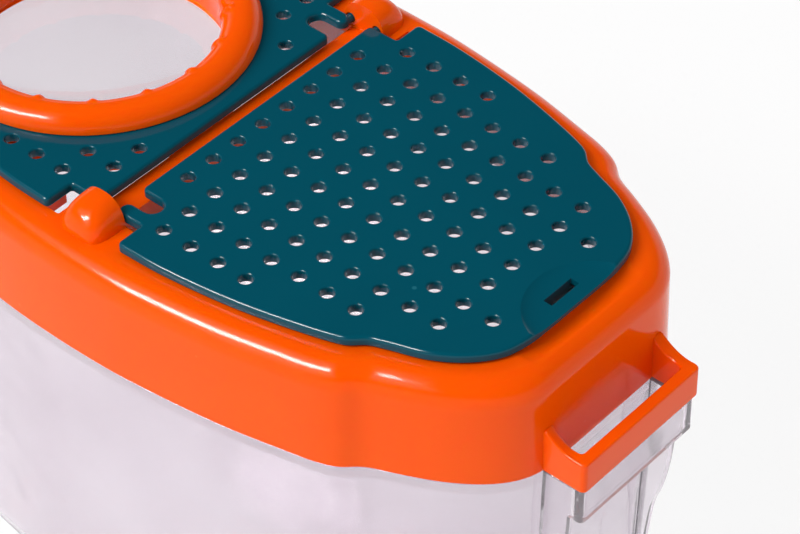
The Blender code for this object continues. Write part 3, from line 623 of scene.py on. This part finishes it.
# Snap hook under the nose; inner and outer are measured from the latch slot's middle
hookShape = {"middleY": 1.8, "width": 8.4, "inner": 2.35, "outer": 0.85, "root": 0.4,
             "barb": 0.45, "barbSlope": 0.2, "barbHigh": 0.7, "gap": 0.3, "length": 2.2,
             "toe": 0.5, "toeHigh": 0.6}
holeShape = {
    "pitch": 5.5, "top": 1.12, "bottom": 1.2, "mouth": 0.28, "sides": 28,
    "mouthTurn": (8, 90), "mouthSteps": 5,
    "firstRow": 0.94, "rows": [(-3, 4), (-5, 5), (-5, 5), (-5, 5), (-5, 5), (-4, 4), (-4, 4),
                               (-4, 4), (-3, 3), (-3, 3)],
    "nose": [(10.94, -2), (10.94, 2)]}
ringShape = {
    "x": 31.35, "radius": 26.9, "inner": 20.25, "crown": 3.3, "crownStart": 4,
    "crownSteps": 56, "steps": 720, "throat": (0.35, -2.0),
    "seatRadius": 20.8, "seatRise": 1.1, "pocket": 21.95,
    "pocketDeep": 2.8, "lipRadius": 21.1, "lipDeep": 3.1, "barrelInner": 21.4,
    "barrel": 24.0, "depth": 9.6, "flange": 0.3, "flangeIn": 0.25,
    "boreGap": 0.3, "boreSteps": 180, "boreCut": (-4, 2), "holeKeepOut": 2.1,
    # Ribs: height, half width, and where each starts, is full, fades and ends, in degrees
    # round the crown from its outer foot
    "ribs": 16, "ribLift": 0.42, "ribHalf": 0.6, "ribRise": (104, 120), "ribFall": (164, 184),
    "ribLow": -0.5}


def doorOutline():
    shape = doorShape
    side = splineLine(shape["side"], shape["keySteps"], np.array(shape["side"][-2]) * [1, -1])
    corner, inside, heel = shape["corner"], shape["insideCorner"], shape["heel"]
    tongue, slit = shape["tongueWidth"] / 2, shape["slitWidth"] / 2
    outer, notch = shape["tongueOuter"], shape["notchEnd"]
    slitY = outer - shape["tongueWidth"] - slit
    heelY = slitY - slit
    turned, turnedIn, half = shape["cornerSteps"], shape["insideSteps"], shape["roundSteps"]
    return np.vstack([
        arc((heel + corner, -heelY + corner), corner, 270, 180, turned),
        arc((heel + corner, outer - corner), corner, 180, 90, turned),
        arc((notch - inside, outer + inside), inside, 270, 360, turnedIn),
        arc((notch + corner, side[0, 1] - corner), corner, 180, 90, turned),
        side[1:],
        (side[1:-1] * [1, -1])[::-1],
        arc((notch + corner, -side[0, 1] + corner), corner, 270, 180, turned),
        arc((notch - inside, -outer - inside), inside, 0, 90, turnedIn),
        arc((heel + shape["tongueSetback"] + tongue, -outer + tongue), tongue, 270, 90, half),
        arc((shape["slitEnd"] - slit, -slitY), slit, -90, 90, half)])


def doorPlate():
    # The outline stacked through the door's thickness, its edges turned by a quarter arc
    edge, lower, low = doorShape["edge"], doorShape["lowerEdge"], doorTop - doorThickness
    turn = np.radians(np.linspace(0, 90, doorShape["edgeSteps"] + 1))
    levels = [(lower * (1 - math.sin(t)), low + lower * (1 - math.cos(t))) for t in turn]
    levels += [(edge * (1 - math.cos(t)), doorTop - edge * (1 - math.sin(t))) for t in turn]
    outline = doorOutline()
    return stackedSolid([inset(outline, d) for d, z in levels], [z for d, z in levels])


def holeList():
    # Every hole's middle: rows and places on a square lattice, times the pitch
    holes = [(holeShape["firstRow"] + row, y) for row, (first, last) in enumerate(holeShape["rows"])
             for y in range(first, last + 1)]
    return np.array(holes + holeShape["nose"]) * holeShape["pitch"]


def holeTools(holes):
    # Each hole: a circle carried down through the door, wider at both mouths
    shape = holeShape
    mouth, low, over = shape["mouth"], doorTop - doorThickness, doorShape["toolOver"]
    turn = np.radians(np.linspace(*shape["mouthTurn"], shape["mouthSteps"] + 1))
    profile = [(shape["top"] + mouth, doorTop + over)]
    profile += [(shape["top"] + mouth * (1 - math.sin(t)), doorTop - mouth * (1 - math.cos(t)))
                for t in turn]
    profile += [(shape["bottom"], low + mouth), (shape["bottom"] + mouth / 2, low),
                (shape["bottom"] + mouth, low - over)]
    profile = np.array(profile)
    angle = (np.arange(shape["sides"]) + 0.5) / shape["sides"] * 2 * math.pi
    ring = np.stack([profile[:, :1] * np.cos(angle), profile[:, :1] * np.sin(angle),
                     np.broadcast_to(profile[:, 1:], (len(profile), len(angle)))], axis=-1)
    rows, columns = ring.shape[:2]
    points = ring[None] + np.column_stack([holes, np.zeros(len(holes))])[:, None, None]
    faces = []
    for hole in range(len(holes)):
        faces += cappedFaces(rows, columns, hole * rows * columns)
    return meshFrom(points, faces)


def dishTool():
    # Shallow bowl: its depth grows from the rim as 1 - exp(-dishSteep * share of the
    # wall's width), so the wall is steepest at the rim and runs out into a nearly level floor
    shape = doorShape
    steep = shape["dishSteep"]
    radius = np.linspace(shape["dishRadius"] + shape["dishLap"], 0, shape["dishRows"])
    run = (shape["dishRadius"] - radius) / shape["dishWall"]
    depth = shape["dishDepth"] * np.where(run > 0, 1 - np.exp(-steep * np.abs(run)), run * steep)
    lid = doorTop + shape["dishLid"]
    profile = np.vstack([[(0, lid), (radius[0], lid)], np.column_stack([radius, doorTop - depth])])
    return turnedMesh(profile, shape["dishSides"], (shape["dishX"], 0, 0), False)


def slotTool():
    shape = doorShape
    plan = boxOutline((shape["slotX"], shape["slotY"]), *shape["slotHalf"], shape["slotCorner"], 4)
    return stackedSolid([plan, plan], [doorTop + shape["toolOver"], doorTop - 2 * doorThickness])


def hookMesh():
    # Tab with a barb toward the ledge: its (x, z) outline carried along y
    shape = hookShape
    top = doorTop - doorThickness + shape["root"]
    under = deckTop - collarShape["wall"] - shape["gap"]
    inner, outer = doorShape["slotX"] - shape["inner"], doorShape["slotX"] - shape["outer"]
    barb, tip = outer + shape["barb"], under - shape["length"]
    outline = np.array([(inner, top), (outer, top), (outer, under + shape["barbSlope"]),
                        (barb, under), (barb, under - shape["barbHigh"]),
                        (outer - shape["barbSlope"], tip), (inner + shape["toe"], tip),
                        (inner, tip + shape["toeHigh"])])
    half = shape["width"] / 2
    return cappedTube(carriedAlongY(outline, [shape["middleY"] - half, shape["middleY"] + half]))


def doorMesh(holes, extraTools):
    shape = doorShape
    tools = [dishTool(), slotTool(), holeTools(holes)] + extraTools
    plate = combined(doorPlate(), tools, "DIFFERENCE")
    start, stop = shape["tongueOuter"] - shape["pinRoot"], shape["tongueOuter"] + shape["pinReach"]
    pins = [roundBar(hingeX, side * start, side * stop, shape["pinRadius"], shape["pinSides"],
                     shape["pinDome"]) for side in (1, -1)]
    return joined([plate, hookMesh()] + pins)


def ringBore():
    shape = ringShape
    circle = arc((shape["x"], 0), shape["barrel"] + shape["boreGap"], 360, 0, shape["boreSteps"])[:-1]
    return stackedSolid([circle, circle], [doorTop + cut for cut in shape["boreCut"]])


allHoles = holeList()
placePiece("vent_door_panel", doorMesh(allHoles, []), "vent_door", tealPlastic, 38,
           ["vent_door"])
fromRing = np.hypot(allHoles[:, 0] - ringShape["x"], allHoles[:, 1])
openHoles = allHoles[fromRing > ringShape["radius"] + ringShape["holeKeepOut"]]
lensDoor = doorMesh(openHoles, [ringBore()])
lensDoor.transform(Matrix.Rotation(math.pi, 4, "Z"))   # the same moulding, half a turn round
placePiece("lens_door_panel", lensDoor, "lens_door", tealPlastic, 38, ["lens_door"])
print("stage: doors made")


# Lens ring and lens

def ringProfile():
    # Crown as half an ellipse, then down the inside to the lens seat and up the barrel
    shape = ringShape
    half = (shape["radius"] - shape["inner"]) / 2
    middle = (shape["radius"] + shape["inner"]) / 2
    seat = lensMiddle.z - doorTop + shape["seatRise"]
    crown = arc((middle, 0), half, shape["crownStart"], 180, shape["crownSteps"])
    crown = crown * [1, shape["crown"] / half]
    inside = [(shape["inner"] + shape["throat"][0], shape["throat"][1]), (shape["seatRadius"], seat),
              (shape["pocket"], seat), (shape["pocket"], seat - shape["pocketDeep"]),
              (shape["lipRadius"], seat - shape["lipDeep"]), (shape["barrelInner"], -shape["depth"]),
              (shape["barrel"], -shape["depth"]), (shape["barrel"], shape["flange"]),
              (shape["radius"] - shape["flangeIn"], shape["flange"])]
    return np.vstack([crown, inside])


def ringRibs(angle):
    # Ribs: bell-shaped across, at even angles, along the inner quarter of the crown
    shape = ringShape
    profile = ringProfile()
    middle = (shape["radius"] + shape["inner"]) / 2
    pitch = 2 * math.pi / shape["ribs"]
    away = (angle + pitch / 2) % pitch - pitch / 2
    across = np.exp(-((away * shape["inner"] / shape["ribHalf"]) ** 2))
    tilt = np.degrees(np.arctan2(profile[:, 1], profile[:, 0] - middle))
    (start, full), (fade, stop) = shape["ribRise"], shape["ribFall"]
    along = np.clip((tilt - start) / (full - start), 0, 1)
    along = along * np.clip((stop - tilt) / (stop - fade), 0, 1)
    along = along * along * (3 - 2 * along) * (profile[:, 1] > shape["ribLow"])
    return shape["ribLift"] * across[:, None] * along[None]


lensShape = {"radius": 21.6, "edge": 2.2, "bulge": 1.7, "bevel": 0.25,
             "bevelTurn": (80, 0), "bevelSteps": 5, "rows": 40, "steps": 220}


def lensProfile():
    # Two parabolic faces joined by a short cylinder with turned edges
    shape = lensShape
    radius = np.linspace(0, shape["radius"] - shape["bevel"], shape["rows"])
    top = shape["edge"] / 2 + shape["bulge"] * (1 - (radius / shape["radius"]) ** 2)
    rim = arc((shape["radius"] - shape["bevel"], top[-1] - shape["bevel"]), shape["bevel"],
              *shape["bevelTurn"], shape["bevelSteps"])
    half = np.vstack([np.column_stack([radius, top]), rim])
    return np.vstack([half, (half * [1, -1])[::-1]])


ring = turnedMesh(ringProfile(), ringShape["steps"], (-ringShape["x"], 0, doorTop), True, ringRibs)
placePiece("lens_ring_bezel", ring, "lens_door", orangePlastic, 45, ["lens_ring"])
lens = turnedMesh(lensProfile(), lensShape["steps"], tuple(lensMiddle), False)
placePiece("magnifying_lens", lens, "lens_door", clearAcrylic, 45, ["lens"])
print("stage: lens and ring made")


# Tub

tubShape = {
    "setback": 0.4, "wall": 1.8, "draft": 2.0, "footRound": 4.0, "edge": 0.3,
    "rimSetback": 3.0, "rimTop": 77.6, "rimFlat": 0.33, "rimSteps": 8, "edgeSteps": 4,
    "wallRows": 12, "wallDown": (0.04, 1), "wallUp": (0.96, 0.02),
    "footSteps": 12, "footStepsInside": 10, "floorRows": 14, "floorHole": 0.02,
    # The step inside the rim: in from the wall and up from the shoulder, at its foot and top
    "stepFoot": (-0.2, -0.8), "stepTop": (0, 0.4),
    "loopOuter": 79.3, "loopHeight": 6.7, "loopInset": 0.4, "loopRound": 0.35,
    "rib": [(76.5, 56.2), (75.9, 47), (74.6, 40), (73.5, 36.5), (72.4, 28), (70.2, 10), (69.4, 5)],
    "ribFoot": (68.9, 5), "ribSteps": 6, "ribIn": 0.05}
tubShoulder = collarFoot - tubShape["edge"]


def tubSections():
    # (mm in from the collar's outline, height): the outside from the rim over the shoulder
    # and the drafted wall to the foot, then the inside from the foot up to the rim's edge
    shape = tubShape
    setback, rim, wall, foot, edge = (shape[key] for key in
                                      ("setback", "rimSetback", "wall", "footRound", "edge"))
    draft, rimTop = shape["draft"], shape["rimTop"] - edge
    footIn = setback + draft + foot
    down = np.linspace(*shape["wallDown"], shape["wallRows"])[:, None]
    up = np.linspace(*shape["wallUp"], shape["wallRows"])[:, None]
    outside = np.vstack([
        [(rim, rimTop), (rim, tubShoulder + 2 * edge), (rim - edge, tubShoulder),
         (setback + edge, tubShoulder)],
        arc((setback + edge, tubShoulder - edge), edge, 90, 180, shape["edgeSteps"])[1:],
        [setback, tubShoulder - 2 * edge] + [draft, foot - tubShoulder + 2 * edge] * down,
        arc((footIn, foot), foot, 180, 270, shape["footSteps"])[1:]])
    inside = np.vstack([
        arc((footIn, foot), foot - wall, 270, 180, shape["footStepsInside"]),
        [setback + wall, tubShoulder - wall] + [draft, foot - tubShoulder + wall] * up,
        [rim + wall, tubShoulder] + np.array([shape["stepFoot"], shape["stepTop"]]),
        [(rim + wall, rimTop)]])
    crest = arc((rim + wall / 2, 0), wall / 2, 0, 180, shape["rimSteps"])[1:-1]
    return outside, np.vstack([inside, crest * [1, shape["rimFlat"]] + [0, rimTop]])


def floorPoints(line, height):
    # A closed line shrunk evenly toward the middle, row by row
    shrink = np.linspace(1, tubShape["floorHole"], tubShape["floorRows"])[1:, None]
    flat = line[:, None] * shrink
    return np.concatenate([flat, np.full(flat.shape[:2] + (1,), height)], axis=2)


def tubMesh():
    # Outside from the rim down to the foot, across the floor to the middle, and back up
    # the inside; the two floors are closed by fans at their middles
    outer, opening = collarOutlines()
    skirt, bowl = (ringPoints(outer, opening, np.insert(pairs, 1, 0, axis=1))
                   for pairs in tubSections())
    wall = tubShape["wall"]
    floorOut, floorIn = floorPoints(skirt[:, -1, :2], 0.0), floorPoints(bowl[:, 0, :2], wall)
    points = np.concatenate([skirt, floorOut, floorIn[:, ::-1], bowl], axis=1)
    rows, columns = points.shape[:2]
    inwardEnd = skirt.shape[1] + floorOut.shape[1] - 1
    faces = [face for face in gridFaces(rows, columns, True, True)
             if {face[0] % columns, face[1] % columns} != {inwardEnd, inwardEnd + 1}]
    around = np.arange(rows)
    following = (around + 1) % rows
    for pole, column in ((0, inwardEnd), (1, inwardEnd + 1)):
        fan = np.stack([around * columns + column, following * columns + column,
                        np.full(rows, rows * columns + pole)], axis=1)
        faces += fan.tolist()
    middles = np.array([[0, 0, 0], [0, 0, wall]])
    body = meshFrom(np.vstack([points.reshape(-1, 3), middles]), faces)
    return combined(body, tubFittings(), "UNION")


def tubFittings():
    # The loop under each end of the collar, and a long tapering rib under each cheek
    shape = tubShape
    half = loopShape["half"] - shape["loopInset"]
    cheek = loopShape["cheek"] - shape["loopInset"]
    low = tubShoulder - shape["loopHeight"]
    lines = loopLines(shape["loopOuter"], half, loopShape["bar"], cheek)
    front = splineLine(shape["rib"], shape["ribSteps"])
    outline = np.vstack([[(loopShape["root"], low + 1), (front[0, 0], low + 1)], front,
                         [shape["ribFoot"]]])
    across = np.array([half - cheek + shape["ribIn"], half - shape["ribIn"]])
    tools = []
    for end in (1, -1):
        tools.append(loopMesh(end, lines, low, tubShoulder, shape["loopRound"]))
        tools += [cappedTube(carriedAlongY(outline * [end, 1], side * across)) for side in (1, -1)]
    return tools


placePiece("clear_tub", tubMesh(), "jar", clearStyrene, 40, ["tub"])
print("stage: tub made")


# Floor, light and camera

studio = {
    "floorSide": 6.0, "floorDrop": 0.0002, "floor": "#F6F5F6", "floorRough": 0.9,
    "backdropShare": 0.88, "ambient": 0.55, "paleBelow": 0.10, "darkAbove": 0.38, "ceiling": 0.05,
    # Key softbox: azimuth and elevation of its two ends, its height in degrees, its
    # brightness, and its distance and the height that it is aimed at in metres
    "keyFrom": (-124, 31), "keyTo": (-86, 54), "keyHigh": 13, "keyRadiance": 16,
    "keyDistance": 1.5, "keyAim": 0.08,
    # Its hot middle and its soft edge, as polished plastic mirrors them
    "core": {"strength": 60, "high": 8, "longer": 1.0, "flatLong": 0.86, "flatShort": 0.3},
    "halo": {"strength": 5, "high": 36, "longer": 1.3, "flatLong": 0.6, "flatShort": 0.2}}
cameraView = {"place": (0.2720866, -0.2716215, 0.4011444), "lens": 145.155, "sensor": 36.0,
              "right": (0.75557502, 0.6550056, -0.00860491),
              "up": (-0.4370047, 0.51380101, 0.73826514)}


def seenDirectly(tree):
    # 1 for camera, mirror and glass rays, 0 for the light that falls on things
    path = addNode(tree, "ShaderNodeLightPath")
    seen = addNode(tree, "ShaderNodeMath", {
        0: path.outputs["Is Camera Ray"], 1: path.outputs["Is Glossy Ray"]}, operation="MAXIMUM")
    seen = addNode(tree, "ShaderNodeMath", {
        0: seen.outputs[0], 1: path.outputs["Is Transmission Ray"]}, operation="MAXIMUM")
    return seen.outputs[0]


def makeFloor():
    # White paper sweep: most of what is seen is plain white, the rest is lit and shadowed
    half = studio["floorSide"] / 2
    corners = np.array([(-half, -half, 0), (half, -half, 0), (half, half, 0), (-half, half, 0)])
    mesh = meshFrom(corners, [(0, 1, 2, 3)])
    floor = addObject("floor", mesh)
    floor.location.z = -studio["floorDrop"]
    material, tree, shader = newMaterial("white_paper_sweep")
    feed(shader, {"Base Color": linear(studio["floor"]), "Roughness": studio["floorRough"],
                  "Specular IOR Level": 0.0})
    white = addNode(tree, "ShaderNodeEmission", {"Strength": 1.0})
    share = addNode(tree, "ShaderNodeMath", {0: seenDirectly(tree), 1: studio["backdropShare"]},
                    operation="MULTIPLY")
    mixed = addNode(tree, "ShaderNodeMixShader", {
        0: share.outputs[0], 1: shader.outputs[0], 2: white.outputs[0]})
    feed(tree.nodes["Material Output"], {"Surface": mixed.outputs[0]})
    mesh.materials.append(material)


def makeWorld():
    # For camera and glass rays a white backdrop, for mirror rays one that falls off to a
    # dim ceiling, and an even grey for the light that falls on things
    world = bpy.data.worlds.new("studio")
    bpy.context.scene.world = world
    world.use_nodes = True
    tree = world.node_tree
    tree.nodes.clear()
    path = addNode(tree, "ShaderNodeLightPath")
    place = addNode(tree, "ShaderNodeTexCoord").outputs["Generated"]
    height = addNode(tree, "ShaderNodeSeparateXYZ", {"Vector": place}).outputs["Z"]
    shade = addNode(tree, "ShaderNodeMapRange", {
        "Value": height, "From Min": studio["paleBelow"], "From Max": studio["darkAbove"],
        "To Min": 1.0, "To Max": studio["ceiling"]}, interpolation_type="SMOOTHSTEP")
    straight = addNode(tree, "ShaderNodeMath", {
        0: path.outputs["Is Camera Ray"], 1: path.outputs["Is Transmission Ray"]},
        operation="MAXIMUM")
    backdrop = addNode(tree, "ShaderNodeMix", {
        "Factor": straight.outputs[0], "A": shade.outputs[0], "B": 1.0})
    strength = addNode(tree, "ShaderNodeMix", {
        "Factor": seenDirectly(tree), "A": studio["ambient"], "B": backdrop.outputs[0]})
    layers = [softboxLayer(tree, place, studio[name]) for name in ("core", "halo")]
    glint = addNode(tree, "ShaderNodeMath", {0: layers[0], 1: layers[1]}, operation="ADD")
    glint = addNode(tree, "ShaderNodeMath", {
        0: glint.outputs[0], 1: path.outputs["Is Glossy Ray"]}, operation="MULTIPLY")
    total = addNode(tree, "ShaderNodeMath", {0: strength.outputs[0], 1: glint.outputs[0]},
                    operation="ADD")
    sky = addNode(tree, "ShaderNodeBackground", {
        "Color": (1, 1, 1, 1), "Strength": total.outputs[0]})
    addNode(tree, "ShaderNodeOutputWorld", {"Surface": sky.outputs[0]})


def softboxLayer(tree, place, layer):
    # One layer of the softbox as polished plastic mirrors it: full strength about its
    # centre line, fading to nothing at its ends and long edges
    middle, longSide, shortSide, halfLong = keyAxes()
    reachLong, reachShort = halfLong * layer["longer"], math.sin(math.radians(layer["high"]))
    facing = addNode(tree, "ShaderNodeVectorMath", {0: place, 1: tuple(middle)},
                     operation="DOT_PRODUCT")
    total = addNode(tree, "ShaderNodeMath", {0: facing.outputs["Value"], 1: 0.0},
                    operation="GREATER_THAN")
    for axis, full, none in ((longSide, layer["flatLong"] * reachLong, reachLong),
                             (shortSide, layer["flatShort"] * reachShort, reachShort)):
        along = addNode(tree, "ShaderNodeVectorMath", {0: place, 1: tuple(axis)},
                        operation="DOT_PRODUCT")
        away = addNode(tree, "ShaderNodeMath", {0: along.outputs["Value"]}, operation="ABSOLUTE")
        fade = addNode(tree, "ShaderNodeMapRange", {
            "Value": away.outputs[0], "From Min": full, "From Max": none,
            "To Min": 1.0, "To Max": 0.0}, interpolation_type="SMOOTHSTEP")
        total = addNode(tree, "ShaderNodeMath", {0: total.outputs[0], 1: fade.outputs["Result"]},
                        operation="MULTIPLY")
    bright = addNode(tree, "ShaderNodeMath", {0: total.outputs[0], 1: layer["strength"]},
                     operation="MULTIPLY")
    return bright.outputs[0]


def skyWay(azimuth, elevation):
    # Direction on the sky from two angles in degrees
    a, e = math.radians(azimuth), math.radians(elevation)
    return np.array([math.cos(e) * math.cos(a), math.cos(e) * math.sin(a), math.sin(e)])


def keyAxes():
    # Middle, long and short direction of the key softbox, and half its length one unit away
    start, stop = skyWay(*studio["keyFrom"]), skyWay(*studio["keyTo"])
    middle = (start + stop) / np.linalg.norm(start + stop)
    length = np.linalg.norm(stop - start)
    longSide = (stop - start) / length
    return middle, longSide, np.cross(middle, longSide), length / 2


def standingAt(x, y, z, place):
    # Matrix with these three directions as its axes, at this place
    turn = np.eye(4)
    turn[:3, 0], turn[:3, 1], turn[:3, 2], turn[:3, 3] = x, y, z, place
    return Matrix(turn.tolist())


def makeKeyLight():
    # Strip softbox whose long side spans the sky from one direction to the other
    middle, longSide, shortSide, halfLong = keyAxes()
    distance = studio["keyDistance"]
    lamp = bpy.data.lights.new("key_softbox", "AREA")
    lamp.shape = "RECTANGLE"
    lamp.size = 2 * distance * halfLong
    lamp.size_y = 2 * distance * math.tan(math.radians(studio["keyHigh"] / 2))
    lamp.energy = studio["keyRadiance"] * math.pi * lamp.size * lamp.size_y
    place = middle * distance + [0, 0, studio["keyAim"]]
    addObject("key_softbox", lamp).matrix_world = standingAt(longSide, shortSide, middle, place)


def makeCamera():
    data = bpy.data.cameras.new("camera")
    data.sensor_width = cameraView["sensor"]
    data.lens = cameraView["lens"]
    data.clip_start, data.clip_end = 0.01, 20
    camera = addObject("camera", data)
    right, up = np.array(cameraView["right"]), np.array(cameraView["up"])
    camera.matrix_world = standingAt(right, up, np.cross(right, up), cameraView["place"])
    bpy.context.scene.camera = camera


makeFloor()
makeWorld()
makeKeyLight()
makeCamera()
bpy.context.scene.view_settings.view_transform = "Standard"
print("stage: studio made")
